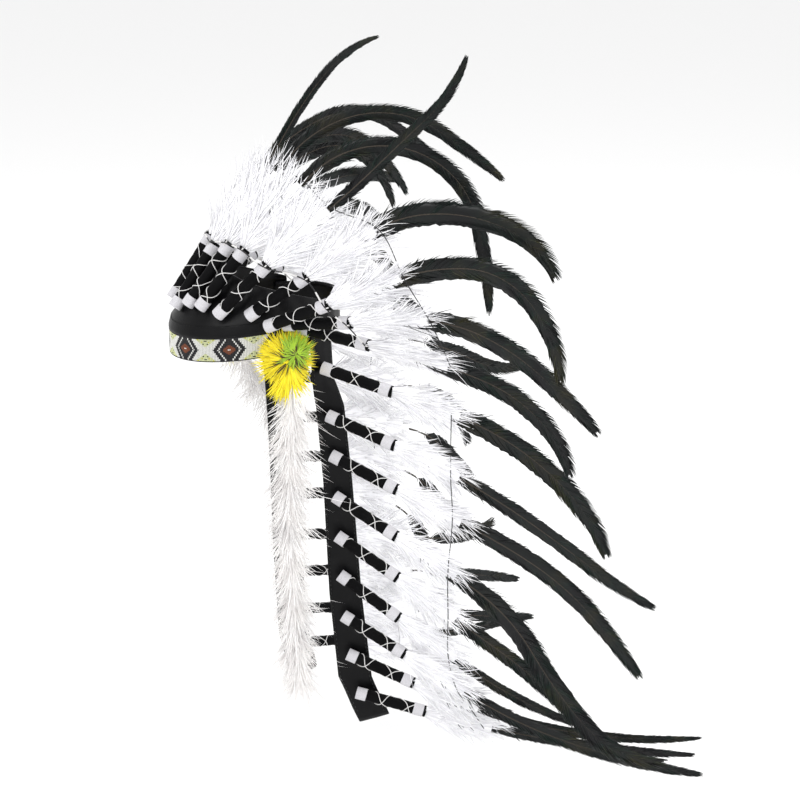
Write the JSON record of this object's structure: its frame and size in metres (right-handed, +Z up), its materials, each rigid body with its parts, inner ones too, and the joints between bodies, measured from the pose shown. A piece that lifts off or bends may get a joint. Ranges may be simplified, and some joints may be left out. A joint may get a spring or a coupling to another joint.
{
  "type": "feathered headdress",
  "caption": "Feathered headdress with a woven browband, a leather crown and two long trails of white and dark plumes, in its worn shape",
  "frame": {"origin": "centre of the head opening, level with the middle of the browband's lower edge, where the head carries it", "axes": "+Z up along the wearer's head, -Y the way the wearer faces, +X the wearer's left"},
  "size_m": [0.6367, 0.5215, 0.8046],
  "materials": {
    "woven_band": "woven cotton and beadwork look in white, black, rust and pale green",
    "black_leather": "soft black leather with a low sheen",
    "dark_plume": "black wraps with white trim, white fluffy plumes and dark glossy coque plumes",
    "yellow_feather": "dyed yellow and green feather barbs",
    "white_plume": "soft white fluff"
  },
  "bodies": {
    "root": {"browband": "woven_band", "crown_strip": "black_leather", "back_strap": "black_leather", "feather_front": "dark_plume", "feather_crown_left_1": "dark_plume", "feather_crown_left_2": "dark_plume", "feather_crown_left_3": "dark_plume", "feather_crown_left_4": "dark_plume", "feather_crown_left_5": "dark_plume", "feather_crown_left_6": "dark_plume", "feather_crown_left_7": "dark_plume", "feather_crown_right_1": "dark_plume", "feather_crown_right_2": "dark_plume", "feather_crown_right_3": "dark_plume", "feather_crown_right_4": "dark_plume", "feather_crown_right_5": "dark_plume", "feather_crown_right_6": "dark_plume", "feather_crown_right_7": "dark_plume", "feather_trail_left_1": "dark_plume", "feather_trail_left_2": "dark_plume", "feather_trail_left_3": "dark_plume", "feather_trail_left_4": "dark_plume", "feather_trail_left_5": "dark_plume", "feather_trail_left_6": "dark_plume", "feather_trail_left_7": "dark_plume", "feather_trail_left_8": "dark_plume", "feather_trail_left_9": "dark_plume", "feather_trail_right_1": "dark_plume", "feather_trail_right_2": "dark_plume", "feather_trail_right_3": "dark_plume", "feather_trail_right_4": "dark_plume", "feather_trail_right_5": "dark_plume", "feather_trail_right_6": "dark_plume", "feather_trail_right_7": "dark_plume", "feather_trail_right_8": "dark_plume", "feather_trail_right_9": "dark_plume", "trail_left": "black_leather", "trail_right": "black_leather", "rosette_left": "yellow_feather", "rosette_right": "yellow_feather", "drop_left": "white_plume", "drop_right": "white_plume"}
  },
  "joints": []
}
